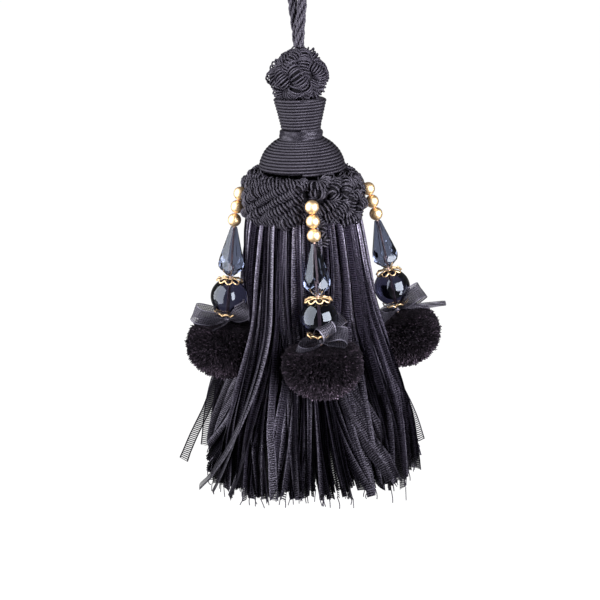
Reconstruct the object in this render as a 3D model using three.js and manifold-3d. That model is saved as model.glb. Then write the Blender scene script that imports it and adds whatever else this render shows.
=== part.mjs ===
// Key tassel: a hanging loop of plied cord, a ball knotted from crinkled gimp, a cup and a dome
// wound with gimp, a floss neck band, a plaited ruff, a skirt of ribbed ribbons, and four strands
// of beads that each end in an organza bow and a pompom.
// Millimetres, +Z up, front towards -Y. The origin is the inside top of the hanging loop, where
// the key or knob holds the tassel, and everything hangs below it.

import * as THREE from "three";
import { mergeVertices } from "three/addons/utils/BufferGeometryUtils.js";
import Module from "manifold-3d";

const wasm = await Module();
wasm.setup();

// Driving dimensions
const GAP = 0.35;
const CORD = { diameter: 3.3, sides: 8, steps: 68, plies: 4, ply_relief: 0.2, ply_turns: 15 };
const BALL = { radius: 9.3, half_height: 8.1, centre: -72.4, ropes: 6, slant: 6, relief: 0.6 };
const CUP = { top: -80, bottom: -89.7, top_radius: 8.3, bottom_radius: 6.1, rounds: 10 };
const NECK = { bottom: -92.4, radius: 6.7, swell: 0.25 };
const DOME = { bottom: -102.6, radius: 13.8, top_radius: 6.6, rounds: 12 };
const GIMP_RELIEF = 0.28;
const RUFF = {
  centre: -110.9, half_height: 7.9, middle: 17.1, inward: 3.7, outward: 4.5, lean: 1.7,
  ropes: 15, slant: 4, relief: 0.7,
};
const CORE = { radius: 12.6, flange_radius: 20.2, flange_top: -119.2, bottom: -121.2 };
const RIBBON = { width: 3.2, thickness: 0.5, root: -120.2, end: -205.2, uneven: 3.2, tilt: 60 };
const STRAND = {
  gold_beads: 3, gold_radius: 2.05, gold_pitch: 4.45,
  teardrop_top: 11.3, teardrop_length: 16.4, teardrop_radius: 4.3,
  round_radius: 5.9, round_down: 35,
  cap_gap: 0.45, cap_thickness: 0.5, cap_rim: 4.4, cap_hole: 0.8, cap_dome: 20, lower_cap_rim: 3.8,
  knot_radius: 1, knot_down: 44.4,
};
const BOW = { ribbon_width: 6.2, gathered_width: 1.3, gathered_end: 3, wall: 1, loop_height: 4.2 };
const POMPOM = {
  radius: 12.5, half_height: 10.8, heart_share: 0.82,
  locks: 20, lock_tip: 3.1, lock_root: 1.8, lock_inner: 0.6, bare_top: 0.45,
};

// The four strands: turn from the front, reach and height of the first bead's place, the angles by
// which the strand leans outward and swings to its own right as it hangs over the skirt, how far
// the ruff's slope tucks the first bead inward, and how far down the pompom's centre hangs
const STRANDS = [
  { name: "front", turn: 6.4, reach: 23.4, height: -110.7, lean: 4.4, swing: 1.7, tuck: 0.3, pompom: 50.6 },
  { name: "left", turn: -84, reach: 21.7, height: -109.8, lean: 6.8, swing: 0, tuck: 1.2, pompom: 51.9 },
  { name: "right", turn: 96, reach: 22.4, height: -110.4, lean: 11.5, swing: 0, tuck: 0.7, pompom: 51.9 },
  { name: "back", turn: 186, reach: 22.4, height: -110.6, lean: 6, swing: -1.2, tuck: 0.6, pompom: 51.6 },
];

// The cut teardrop's outline, as shares of its radius and of its length
const TEARDROP_OUTLINE = [
  { width: 0.2, down: 0 },
  { width: 0.24, down: 0.02 },
  { width: 0.78, down: 0.52 },
  { width: 1, down: 0.73 },
  { width: 0.76, down: 0.88 },
  { width: 0.32, down: 0.99 },
  { width: 0.26, down: 1 },
];

// The room that the ruff and the ribbons leave for a strand, from its first bead downward
const BERTHS = [
  { down: -4.5, half_width: 2.6, half_height: 3.2, depth: 2.4 },
  { down: 4.5, half_width: 2.6, half_height: 8, depth: 2.6 },
  { down: 21, half_width: 4.6, half_height: 9.5, depth: 4.6 },
  { down: 35, half_width: 6.2, half_height: 6.8, depth: 6.2 },
  { down: 41, half_width: 13, half_height: 6.5, depth: 7.5 },
  { down: 51.4, half_width: 13, half_height: 12, depth: 13 },
];

// The skirt's outline from root to cut end
const SKIRT_OUTLINE = [
  { z: -120.2, radius: 18.6 },
  { z: -132, radius: 21 },
  { z: -147, radius: 24 },
  { z: -161, radius: 29 },
  { z: -176, radius: 33 },
  { z: -192, radius: 35.5 },
  { z: -206, radius: 37 },
];

// How a strand presses the ribbons behind it inward: the room it keeps, the height over which it
// presses fully, how fast the ribbons ease back from there downward and round the skirt (millimetres
// for a millimetre and for a radian), and the steps in height and turn that are looked at
const PRESS = { margin: 2.3, level: 8, fall: 0.5, spread: 24, step: 4, steps: 8, turn: 0.1, turns: 4 };

// Rings of ribbons from the outside in
const RIBBON_RINGS = [
  { count: 44, share: 1, start: 0, spans: 6 },
  { count: 28, share: 0.7, start: 2, spans: 5 },
  { count: 12, share: 0.42, start: 9, spans: 4 },
];

// Loops and tails of the bows: heading from straight outward, lift above level, and length
const BOW_LOOPS = [
  { strand: "front", heading: -88, lift: 18, length: 10 },
  { strand: "front", heading: 62, lift: 17, length: 10.5 },
  { strand: "left", heading: -12, lift: 19, length: 10.5 },
  { strand: "left", heading: 112, lift: 24, length: 10.5 },
  { strand: "right", heading: 8, lift: 26, length: 10.5 },
  { strand: "right", heading: -108, lift: 18, length: 10 },
  { strand: "back", heading: -80, lift: 20, length: 10.5 },
  { strand: "back", heading: 84, lift: 20, length: 10.5 },
];
const BOW_TAILS = [
  { strand: "front", heading: 8, lift: 18, length: 9 },
  { strand: "front", heading: 112, lift: 20, length: 10 },
  { strand: "left", heading: 52, lift: 17, length: 10 },
  { strand: "right", heading: -42, lift: 17, length: 9.5 },
  { strand: "back", heading: 6, lift: 17, length: 10 },
];

// Half of the hanging cord's route, from the ball up to the middle of the loop's top.
// The other half is its mirror image through the axis.
const HALF_ROUTE = [
  [0.25, -1.84, -63.75],
  [0.45, -1.8, -60],
  [0.95, -1.6, -55],
  [1.45, -1.16, -50],
  [1.76, -0.6, -45],
  [1.86, -0.1, -40],
  [2.25, 0, -34],
  [3.15, 0, -27.5],
  [4.3, 0, -20.5],
  [5.4, 0, -13.5],
  [6.1, 0, -8],
  [6.1, 0, -4.45],
  [5.64, 0, -2.12],
  [4.31, 0, -0.14],
  [2.33, 0, 1.19],
  [0, 0, 1.65],
];

// Finishes
const black = { color: 0x1a1a1f, roughness: 0.6, metalness: 0 };
const FINISHES = {
  cord: { ...black, color: 0x17171b },
  gimp: { ...black, color: 0x1c1c21, roughness: 0.5 },
  floss: { ...black, color: 0x202026, roughness: 0.4 },
  ribbon: { ...black, color: 0x1b1b20, roughness: 0.55 },
  organza: { color: 0x3c3c42, roughness: 0.6, metalness: 0 },
  yarn: { color: 0x0e0c11, roughness: 0.95, metalness: 0 },
  gold: { color: 0xd8b476, roughness: 0.35, metalness: 1 },
  glass: { color: 0x1d2740, roughness: 0.05, metalness: 0 },
};

const { degToRad, lerp } = THREE.MathUtils;

// A small repeatable source of unevenness, from 0 to 1
let seed = 20;
function uneven() {
  seed = (seed * 16807) % 2147483647;
  return seed / 2147483647;
}

// Closed geometry and joined solids

function movePoints(geometry, move) {
  const position = geometry.attributes.position;
  const point = new THREE.Vector3();
  for (let i = 0; i < position.count; i += 1) {
    move(point.fromBufferAttribute(position, i));
    position.setXYZ(i, point.x, point.y, point.z);
  }
  return geometry;
}

function weld(geometry) {
  geometry.deleteAttribute("normal");
  geometry.deleteAttribute("uv");
  const shared = mergeVertices(geometry);
  const corners = Array.from(shared.index.array);
  const kept = [];
  for (let i = 0; i < corners.length; i += 3) {
    const [a, b, c] = corners.slice(i, i + 3);
    if (a !== b && b !== c && c !== a) kept.push(a, b, c);
  }
  shared.setIndex(kept);
  return shared;
}

function toSolid(geometry) {
  const closed = weld(geometry);
  const vertProperties = new Float32Array(closed.attributes.position.array);
  const triVerts = new Uint32Array(closed.index.array);
  return new wasm.Manifold(new wasm.Mesh({ numProp: 3, vertProperties, triVerts }));
}

function joined(geometries, highest = Infinity) {
  const whole = geometries.map(toSolid).reduce((sum, piece) => sum.add(piece));
  const kept = highest === Infinity ? whole : whole.trimByPlane([0, 0, -1], -highest);
  const { vertProperties, triVerts } = kept.getMesh();
  const geometry = new THREE.BufferGeometry();
  geometry.setAttribute("position", new THREE.BufferAttribute(new Float32Array(vertProperties), 3));
  geometry.setIndex(Array.from(triVerts));
  return geometry;
}

function lathe(profile, segments) {
  const points = profile.map(([radius, height]) => new THREE.Vector2(radius, height));
  return new THREE.LatheGeometry(points, segments).rotateX(Math.PI / 2);
}

function ball(radius, around, over) {
  return new THREE.SphereGeometry(radius, around, over).rotateX(Math.PI / 2);
}

function named(name, geometry, finish) {
  const mesh = new THREE.Mesh(geometry, new THREE.MeshStandardMaterial(FINISHES[finish]));
  mesh.name = name;
  return mesh;
}

// The hanging loop: one cord whose two legs leave the knotted ball side by side
function hangingLoop() {
  const otherHalf = HALF_ROUTE.slice(0, -1).reverse().map(([x, y, z]) => [-x, -y, z]);
  const route = [...HALF_ROUTE, ...otherHalf].map((place) => new THREE.Vector3(...place));
  const path = new THREE.CatmullRomCurve3(route, false, "centripetal");
  const section = new THREE.Shape();
  for (let side = 0; side < CORD.sides; side += 1) {
    const turn = (side / CORD.sides) * 2 * Math.PI;
    const radius = CORD.diameter / 2;
    const corner = [radius * Math.cos(turn), radius * Math.sin(turn)];
    if (side === 0) section.moveTo(...corner);
    else section.lineTo(...corner);
  }
  const options = { steps: CORD.steps, extrudePath: path, bevelEnabled: false, curveSegments: 1 };
  const geometry = new THREE.ExtrudeGeometry(section, options);
  const stations = path.getSpacedPoints(CORD.steps);
  const frames = path.computeFrenetFrames(CORD.steps, false);
  const arm = new THREE.Vector3();
  return weld(movePoints(geometry, (point) => {
    const nearness = stations.map((station, i) => {
      arm.subVectors(point, station);
      return Math.abs(arm.length() - CORD.diameter / 2) + Math.abs(arm.dot(frames.tangents[i]));
    });
    const i = nearness.indexOf(Math.min(...nearness));
    arm.subVectors(point, stations[i]);
    const turn = Math.atan2(arm.dot(frames.binormals[i]), arm.dot(frames.normals[i]));
    const twist = (i / CORD.steps) * CORD.ply_turns * 2 * Math.PI;
    const swell = 1 - CORD.ply_relief * (0.5 - 0.5 * Math.cos(CORD.plies * turn + twist));
    point.copy(stations[i]).addScaledVector(arm, swell);
  }));
}

// The knotted ball, whose crinkled gimp crosses over and under, pressed flat on the cup
function topKnot() {
  return weld(movePoints(ball(1, 30, 14), (point) => {
    const around = Math.atan2(point.y, point.x);
    const up = Math.asin(THREE.MathUtils.clamp(point.z, -1, 1));
    const oneWay = Math.cos(BALL.ropes * around + BALL.slant * up);
    const otherWay = Math.cos(BALL.ropes * around - BALL.slant * up);
    const lift = BALL.relief * oneWay * otherWay * Math.cos(up);
    point.multiply(new THREE.Vector3(BALL.radius + lift, BALL.radius + lift, BALL.half_height + lift));
    point.z = Math.max(point.z + BALL.centre, CUP.top + GAP);
  }));
}

// A mould wound with gimp: each round of gimp is a ridge between two grooves
function wound(outline, rounds, segments) {
  const profile = [];
  for (let half = 0; half <= 2 * rounds; half += 1) {
    const [radius, height] = outline(half / (2 * rounds));
    profile.push([radius + (half % 2 ? GIMP_RELIEF : 0), height]);
  }
  profile.unshift([0, profile[0][1]]);
  profile.push([0, profile[profile.length - 1][1]]);
  return weld(lathe(profile, segments));
}

function cup() {
  const flare = 1.15;
  return wound((up) => [
    CUP.bottom_radius + (CUP.top_radius - CUP.bottom_radius) * up ** flare,
    lerp(CUP.bottom, CUP.top, up),
  ], CUP.rounds, 18);
}

function neckBand() {
  const top = CUP.bottom - GAP;
  const thickness = top - NECK.bottom;
  const profile = [
    [0, NECK.bottom],
    [NECK.radius - NECK.swell, NECK.bottom],
    [NECK.radius, NECK.bottom + 0.25 * thickness],
    [NECK.radius - 0.5 * NECK.swell, NECK.bottom + 0.5 * thickness],
    [NECK.radius, NECK.bottom + 0.75 * thickness],
    [NECK.radius - NECK.swell, top],
    [0, top],
  ];
  return weld(lathe(profile, 18));
}

function dome() {
  const top = NECK.bottom - GAP;
  const last = Math.asin(DOME.top_radius / DOME.radius);
  const rise = (top - DOME.bottom) / Math.cos(last);
  return wound((up) => {
    const turn = lerp(Math.PI / 2, last, up);
    return [DOME.radius * Math.sin(turn), DOME.bottom + rise * Math.cos(turn)];
  }, DOME.rounds, 20);
}

// Where a point of a strand is, at a distance down from its first bead: outward along the
// strand's own direction, aside to the right of that, and up
function strandAt(strand, down) {
  const lean = degToRad(strand.lean);
  const swing = degToRad(strand.swing);
  const tuck = strand.tuck * Math.max(0, 1 - down / (2 * STRAND.gold_pitch));
  return {
    out: strand.reach + down * Math.sin(lean) * Math.cos(swing) - tuck,
    aside: down * Math.sin(swing),
    z: strand.height - down * Math.cos(lean) * Math.cos(swing),
  };
}

// The greatest radius that stays clear of the strands in a direction and at a height: where a
// ray from the axis enters the oval that a berth cuts at that height, or a little past it
function clearRadius(azimuth, z, margin) {
  let clear = Infinity;
  for (const strand of STRANDS) {
    for (const berth of BERTHS) {
      const centre = strandAt(strand, berth.down);
      const turned = azimuth - degToRad(strand.turn) - Math.atan2(centre.aside, centre.out);
      const reach = Math.hypot(centre.out, centre.aside);
      const level = 1 - ((z - centre.z) / (berth.half_height + margin)) ** 2;
      if (level < 0 || Math.cos(turned) < 0) continue;
      const depth = (berth.depth + margin) * Math.sqrt(level);
      const width = (berth.half_width + margin) * Math.sqrt(level);
      const spread = (Math.cos(turned) / depth) ** 2 + (Math.sin(turned) / width) ** 2;
      const middle = (reach * Math.cos(turned)) / depth ** 2;
      const overlap = middle ** 2 - spread * ((reach / depth) ** 2 - 1);
      const entry = (middle - Math.sign(overlap) * Math.sqrt(Math.abs(overlap))) / spread;
      clear = Math.min(clear, entry);
    }
  }
  return clear;
}

// The ruff: a collar plaited from crinkled bullion, its ropes slanting up round the dome's foot
function ruff() {
  const stations = 10;
  const profile = [];
  for (let i = 0; i <= stations; i += 1) {
    const turn = ((i + 0.5) / stations) * 2 * Math.PI;
    const reach = Math.cos(turn) > 0 ? RUFF.outward : RUFF.inward;
    const radius = RUFF.middle + reach * Math.cos(turn) - RUFF.lean * Math.sin(turn);
    profile.push([radius, RUFF.centre + RUFF.half_height * Math.sin(turn)]);
  }
  const margin = 1.1;
  return weld(movePoints(lathe(profile, RUFF.ropes * 4), (point) => {
    const azimuth = Math.atan2(point.x, -point.y);
    const radius = Math.hypot(point.x, point.y);
    const up = (point.z - RUFF.centre) / RUFF.half_height;
    const out = (radius - RUFF.middle + RUFF.lean * up) / RUFF.outward;
    if (out < 0) return;
    const rope = Math.cos(RUFF.ropes * azimuth + RUFF.slant * Math.atan2(up, out));
    const wanted = radius + RUFF.relief * rope * out;
    const lifted = Math.min(wanted, clearRadius(azimuth, point.z, margin));
    point.x *= lifted / radius;
    point.y *= lifted / radius;
  }));
}

// The skirt's outline at a height
function outlineAt(z) {
  const after = Math.max(1, SKIRT_OUTLINE.findIndex((row) => row.z <= z));
  const upper = SKIRT_OUTLINE[after - 1];
  const lower = SKIRT_OUTLINE[after];
  return lerp(upper.radius, lower.radius, (upper.z - z) / (upper.z - lower.z));
}

// How far out the outer ribbons hang: pressed inward behind each strand, and eased back to the
// outline from there both along their length and from ribbon to ribbon
function skirtRadius(azimuth, z) {
  const { margin, level, fall, spread, step, steps, turn, turns } = PRESS;
  let radius = outlineAt(z);
  for (let i = -steps; i <= steps; i += 1) {
    for (let j = -turns; j <= turns; j += 1) {
      const pressed = clearRadius(azimuth + j * turn, z + i * step, margin);
      const eased = fall * Math.max(0, Math.abs(i * step) - level) + spread * Math.abs(j * turn);
      radius = Math.min(radius, pressed + eased);
    }
  }
  return radius;
}

// One ribbon, rooted in the flange. It stands more or less on edge to the skirt's own surface, so
// it lies clear of its neighbours where a strand presses them inward.
function ribbon(ring, turn, end, tiltAtEnd) {
  const { width, thickness, root, tilt } = RIBBON;
  const near = 0.07;
  const azimuth = degToRad(turn);
  const outward = new THREE.Vector3(Math.sin(azimuth), -Math.cos(azimuth), 0);
  const sideways = new THREE.Vector3(Math.cos(azimuth), Math.sin(azimuth), 0);
  return movePoints(new THREE.BoxGeometry(thickness, width, 1, 1, 1, ring.spans), (point) => {
    const down = 0.5 - point.z;
    const z = lerp(root, end, down);
    const radius = skirtRadius(azimuth, z);
    const drop = skirtRadius(azimuth + near, z) - skirtRadius(azimuth - near, z);
    const lie = degToRad(lerp(tilt, tiltAtEnd, down)) + Math.atan2(drop, 2 * near * radius);
    const out = ring.share * radius + point.y * Math.sin(lie) + point.x * Math.cos(lie);
    const aside = point.y * Math.cos(lie) - point.x * Math.sin(lie);
    point.copy(outward).multiplyScalar(out).addScaledVector(sideways, aside);
    point.z = z;
  });
}

// The skirt: ribbons fused by their roots to the core that the ruff hides
function skirt() {
  const core = lathe([
    [0, CORE.bottom],
    [CORE.flange_radius, CORE.bottom],
    [CORE.flange_radius, CORE.flange_top],
    [CORE.radius, CORE.flange_top],
    [CORE.radius, DOME.bottom - GAP],
    [0, DOME.bottom - GAP],
  ], 24);
  const ribbons = RIBBON_RINGS.flatMap((ring) => {
    return Array.from({ length: ring.count }, (_, i) => {
      const turn = ring.start + (i * 360) / ring.count;
      const end = RIBBON.end + RIBBON.uneven * (uneven() - 0.5);
      return ribbon(ring, turn, end, 30 + 20 * uneven());
    });
  });
  return joined([core, ...ribbons]);
}

// Beads and caps of one strand, each placed along the strand's own -Z

function teardrop() {
  const { teardrop_top, teardrop_length, teardrop_radius } = STRAND;
  const rows = TEARDROP_OUTLINE.map(({ width, down }) => {
    return [width * teardrop_radius, -teardrop_top - down * teardrop_length];
  });
  const closed = [[0, rows[0][1]], ...rows, [0, rows[rows.length - 1][1]]];
  return weld(lathe(closed.reverse(), 8));
}

// A dished gold cap, nearly flat. It bears on the round bead's top where side is 1, and on its
// underside where side is -1.
function beadCap(side, rim, scallops) {
  const inner = STRAND.round_radius + STRAND.cap_gap;
  const outer = inner + STRAND.cap_thickness;
  const flatter = STRAND.cap_dome - inner;
  const wall = (radius, rho) => {
    const rise = Math.sqrt((radius + flatter) ** 2 - rho ** 2) - flatter;
    return [rho, side * rise - STRAND.round_down];
  };
  const middle = 0.6 * rim;
  const ring = [
    wall(inner, STRAND.cap_hole),
    wall(inner, middle),
    wall(inner, rim),
    wall(outer, rim),
    wall(outer, STRAND.cap_hole),
    wall(inner, STRAND.cap_hole),
  ];
  const notch = 0.93;
  const profile = side > 0 ? ring : ring.reverse();
  return weld(movePoints(lathe(profile, 2 * scallops), (point) => {
    const around = Math.atan2(point.x, -point.y);
    const dented = Math.cos(scallops * around) < 0 && Math.hypot(point.x, point.y) > 0.8 * rim;
    point.x *= dented ? notch : 1;
    point.y *= dented ? notch : 1;
  }));
}

// The bow: gathered at its knot, its loops and tails spreading between bead and pompom
function spreadRibbon(geometry, { heading, lift, length }) {
  const { ribbon_width, gathered_width, gathered_end } = BOW;
  movePoints(geometry, (point) => {
    const outward = THREE.MathUtils.clamp((point.x - gathered_end) / (0.75 * length), 0, 1);
    point.z *= lerp(gathered_width / ribbon_width, 1, outward);
    point.z += Math.tan(degToRad(lift)) * Math.max(0, point.x - 0.3 * length);
  });
  geometry.rotateZ(degToRad(heading));
  return geometry.translate(0, 0, -STRAND.knot_down);
}

function bow(strand) {
  const { ribbon_width, wall, loop_height } = BOW;
  const half = loop_height / 2;
  const loops = BOW_LOOPS.filter((row) => row.strand === strand.name).map((row) => {
    const band = (inset) => [
      [0.5 + 1.6 * inset, 0],
      [0.45 * row.length, inset - half],
      [0.85 * row.length, inset - half],
      [row.length - inset, 0],
      [0.85 * row.length, half - inset],
      [0.45 * row.length, half - inset],
    ].map((corner) => new THREE.Vector2(...corner));
    const outline = new THREE.Shape(band(0));
    outline.holes.push(new THREE.Path(band(wall)));
    const cloth = new THREE.ExtrudeGeometry(outline, { depth: ribbon_width, bevelEnabled: false });
    return spreadRibbon(cloth.translate(0, 0, -ribbon_width / 2), row);
  });
  const tails = BOW_TAILS.filter((row) => row.strand === strand.name).map((row) => {
    const cloth = new THREE.BoxGeometry(row.length, wall, ribbon_width);
    return spreadRibbon(cloth.translate(row.length / 2, 0, 0), row);
  });
  const knot = ball(STRAND.knot_radius, 6, 3).translate(0, 0, -STRAND.knot_down);
  return joined([knot, ...loops, ...tails]);
}

// A pompom: locks of cut yarn that stand out of a round heart, pressed flat on top by the bow
function pompom(strand) {
  const { radius, half_height, heart_share, locks, lock_tip, lock_root, lock_inner, bare_top } = POMPOM;
  const squash = half_height / radius;
  const turn = Math.PI * (3 - Math.sqrt(5));
  const root = lock_inner * radius;
  const heart = new THREE.IcosahedronGeometry(heart_share * radius, 1);
  const yarn = Array.from({ length: locks }, (_, i) => {
    const up = lerp(-1, bare_top, (i + 0.5) / locks);
    const ring = Math.sqrt(1 - up ** 2);
    const direction = new THREE.Vector3(ring * Math.cos(i * turn), ring * Math.sin(i * turn), up);
    const lock = new THREE.CylinderGeometry(lock_tip, lock_root, radius - root, 3);
    lock.translate(0, (radius + root) / 2, 0);
    const aim = new THREE.Quaternion().setFromUnitVectors(THREE.Object3D.DEFAULT_UP, direction);
    return lock.applyQuaternion(aim);
  });
  const top = STRAND.knot_down + STRAND.knot_radius + GAP;
  const whole = joined([heart, ...yarn], (strand.pompom - top) / squash);
  return whole.scale(1, 1, squash).translate(0, 0, -strand.pompom);
}

// The whole tassel

const tassel = new THREE.Group();
tassel.add(named("hanging_loop", hangingLoop(), "cord"));
tassel.add(named("top_knot", topKnot(), "gimp"));
tassel.add(named("cup", cup(), "gimp"));
tassel.add(named("neck_band", neckBand(), "floss"));
tassel.add(named("dome", dome(), "gimp"));
tassel.add(named("ruff", ruff(), "gimp"));
tassel.add(named("skirt", skirt(), "ribbon"));

for (const strand of STRANDS) {
  const around = new THREE.Group();
  around.rotation.z = degToRad(strand.turn - 90);
  for (let i = 0; i < STRAND.gold_beads; i += 1) {
    const bead = named(`${strand.name}_gold_bead_${i + 1}`, weld(ball(STRAND.gold_radius, 8, 5)), "gold");
    const { out, aside, z } = strandAt(strand, i * STRAND.gold_pitch);
    bead.position.set(out, aside, z);
    around.add(bead);
  }
  const round = named(`${strand.name}_round_bead`, weld(ball(STRAND.round_radius, 12, 8)), "glass");
  round.position.z = -STRAND.round_down;
  const hung = new THREE.Group();
  hung.position.set(strand.reach, 0, strand.height);
  hung.rotation.set(degToRad(strand.swing), -degToRad(strand.lean), 0, "YXZ");
  hung.add(
    named(`${strand.name}_teardrop`, teardrop(), "glass"),
    named(`${strand.name}_bead_cap`, beadCap(1, STRAND.cap_rim, 7), "gold"),
    round,
    named(`${strand.name}_lower_cap`, beadCap(-1, STRAND.lower_cap_rim, 7), "gold"),
    named(`${strand.name}_bow`, bow(strand), "organza"),
    named(`${strand.name}_pompom`, pompom(strand), "yarn"),
  );
  around.add(hung);
  tassel.add(around);
}

export default tassel;
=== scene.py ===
import math
import bpy
import numpy as np
from mathutils import Matrix, Vector


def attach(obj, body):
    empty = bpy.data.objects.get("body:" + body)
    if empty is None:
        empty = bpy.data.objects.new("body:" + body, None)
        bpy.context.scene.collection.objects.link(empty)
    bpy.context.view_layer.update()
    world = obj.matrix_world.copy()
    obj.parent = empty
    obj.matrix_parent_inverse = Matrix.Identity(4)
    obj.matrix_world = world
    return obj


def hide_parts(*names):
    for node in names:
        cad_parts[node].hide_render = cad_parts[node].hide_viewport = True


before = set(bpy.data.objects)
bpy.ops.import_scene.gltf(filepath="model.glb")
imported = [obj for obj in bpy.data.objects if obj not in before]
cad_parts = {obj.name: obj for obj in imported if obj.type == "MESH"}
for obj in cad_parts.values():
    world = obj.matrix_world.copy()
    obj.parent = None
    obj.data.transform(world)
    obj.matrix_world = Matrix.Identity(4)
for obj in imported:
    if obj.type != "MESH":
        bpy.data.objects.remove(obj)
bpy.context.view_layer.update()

# Studio: the tassel hangs in front of plain white paper, seen from a little above. A wide soft
# light stands at its left, a smaller and brighter one at its right, and a small card low at its
# right lifts the shadows.
AIM = Vector((-0.002, 0, -0.1474))
CAMERA_DISTANCE = 0.42
LOOK_DOWN = math.radians(16.5)
ROLL = math.radians(-1.75)
LIGHT_DISTANCE = 0.9


def in_scene(name, data):
    """An object made from its data and put into the scene"""
    made = bpy.data.objects.new(name, data)
    bpy.context.scene.collection.objects.link(made)
    return made


camera_data = bpy.data.cameras.new("camera")
camera_data.lens = 75
camera_data.sensor_width = 36
camera_data.clip_start = 0.01
camera = in_scene("camera", camera_data)
camera_place = AIM + CAMERA_DISTANCE * Vector((0, -math.cos(LOOK_DOWN), math.sin(LOOK_DOWN)))
camera_turn = Matrix.Rotation(math.pi / 2 - LOOK_DOWN, 4, "X") @ Matrix.Rotation(ROLL, 4, "Z")
camera.matrix_world = Matrix.Translation(camera_place) @ camera_turn
bpy.context.scene.camera = camera
bpy.context.scene.view_settings.view_transform = "Standard"


def soft_light(name, heading, height, size, radiance):
    """A square-cornered soft light that faces the tassel; heading is from the front to its right"""
    light = bpy.data.lights.new(name, "AREA")
    light.shape = "RECTANGLE"
    light.size, light.size_y = size
    light.energy = radiance * math.pi * size[0] * size[1]
    light.color = (0.94, 0.965, 1)
    lamp = in_scene(name, light)
    heading, height = math.radians(heading), math.radians(height)
    level = math.cos(height)
    toward = Vector((math.sin(heading) * level, -math.cos(heading) * level, math.sin(height)))
    lamp.location = AIM + LIGHT_DISTANCE * toward
    lamp.rotation_euler = toward.to_track_quat("Z", "Y").to_euler()
    lamp.visible_camera = False


soft_light("left_light", heading=-69, height=16, size=(1.45, 2.0), radiance=6.4)
soft_light("right_light", heading=47, height=12, size=(0.88, 0.82), radiance=17)
soft_light("low_card", heading=59, height=-26, size=(0.2, 0.34), radiance=14)

# The room is dim and its paper bright: paper and room look white to the camera and through glass,
# and light the tassel only a little
BOUNCE = 0.14


def fill(tree, node, values):
    """Gives a node its plain values, and links where a value is a socket"""
    for socket, value in dict(values).items():
        if isinstance(value, bpy.types.NodeSocket):
            tree.links.new(value, node.inputs[socket])
        else:
            node.inputs[socket].default_value = value


def add_node(tree, kind, values=(), **settings):
    """A node with its settings, its plain values and its links"""
    made = tree.nodes.new(kind)
    for setting, value in settings.items():
        setattr(made, setting, value)
    fill(tree, made, values)
    return made


def dress(material, values):
    """Gives values and links to a material's own shader"""
    tree = material.node_tree
    fill(tree, tree.nodes["Principled BSDF"], values)


def plain_finish(name, values):
    material = bpy.data.materials.new(name)
    material.use_nodes = True
    dress(material, values)
    return material


def reckoned(tree, operation, *values):
    """The result of one sum on values that change over a surface"""
    return add_node(tree, "ShaderNodeMath", dict(enumerate(values)), operation=operation).outputs[0]


def ranged(tree, value, given=(0, 1), wanted=(0, 1)):
    """A value moved from the range given to the range wanted, and held within it"""
    ends = {"From Min": given[0], "From Max": given[1], "To Min": wanted[0], "To Max": wanted[1]}
    return add_node(tree, "ShaderNodeMapRange", {"Value": value, **ends}).outputs[0]


def bright_where_seen(tree):
    """The brightness of the surroundings: full in plain sight and through glass, else dim"""
    rays = tree.nodes.new("ShaderNodeLightPath")
    seen = reckoned(tree, "MAXIMUM", rays.outputs["Is Camera Ray"], rays.outputs["Is Transmission Ray"])
    return ranged(tree, seen, wanted=(BOUNCE, 1))


world = bpy.data.worlds.new("studio")
world.use_nodes = True
bpy.context.scene.world = world
tree = world.node_tree
fill(tree, tree.nodes["Background"], {"Color": (1, 1, 1, 1), "Strength": bright_where_seen(tree)})

FLOOR_DROP = -1.1
FLOOR_REACH = 25
floor_mesh = bpy.data.meshes.new("floor")
corners = ((-1, -1), (1, -1), (1, 1), (-1, 1))
corners = [(x * FLOOR_REACH, y * FLOOR_REACH, FLOOR_DROP) for x, y in corners]
floor_mesh.from_pydata(corners, [], [(0, 1, 2, 3)])
paper = plain_finish("white_paper", {"Base Color": (0.1, 0.1, 0.1, 1), "Roughness": 0.9,
                                     "Emission Color": (1, 1, 1, 1)})
dress(paper, {"Emission Strength": bright_where_seen(paper.node_tree)})
floor_mesh.materials.append(paper)
floor = in_scene("floor", floor_mesh)


# Hanging loop: one length of black rayon cord, four plies laid up together, each of three yarns
# twisted the other way. It is doubled through the head, so two legs leave the knotted ball one in
# front of the other. Millimetres are used from here on, and become metres as each mesh is made.
CORD = {"diameter": 3.3, "ply_radius": 0.72, "ply_lay": 17, "plies": 4}
YARN = {"radius": 0.36, "lay": -5.2, "yarns": 3}
HALF_ROUTE = [
    (0.25, -1.84, -63.75), (0.45, -1.8, -60), (0.95, -1.6, -55), (1.45, -1.16, -50),
    (1.76, -0.6, -45), (1.86, -0.1, -40), (2.25, 0, -34), (3.15, 0, -27.5),
    (4.3, 0, -20.5), (5.4, 0, -13.5), (6.1, 0, -8), (6.1, 0, -4.45),
    (5.64, 0, -2.12), (4.31, 0, -0.14), (2.33, 0, 1.19), (0, 0, 1.65),
]


def run_along(path):
    """The length run from a path's start to each of its points"""
    return np.concatenate([[0], np.cumsum(np.linalg.norm(np.diff(path, axis=0), axis=1))])


def rows_of(along, across):
    """Rows of pairs of values, one along a surface and one across it"""
    return np.stack(np.meshgrid(along, across, indexing="ij"), axis=-1)


def all_round(count):
    """Even turns all the way round"""
    return np.linspace(0, 2 * math.pi, count, endpoint=False)


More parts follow.
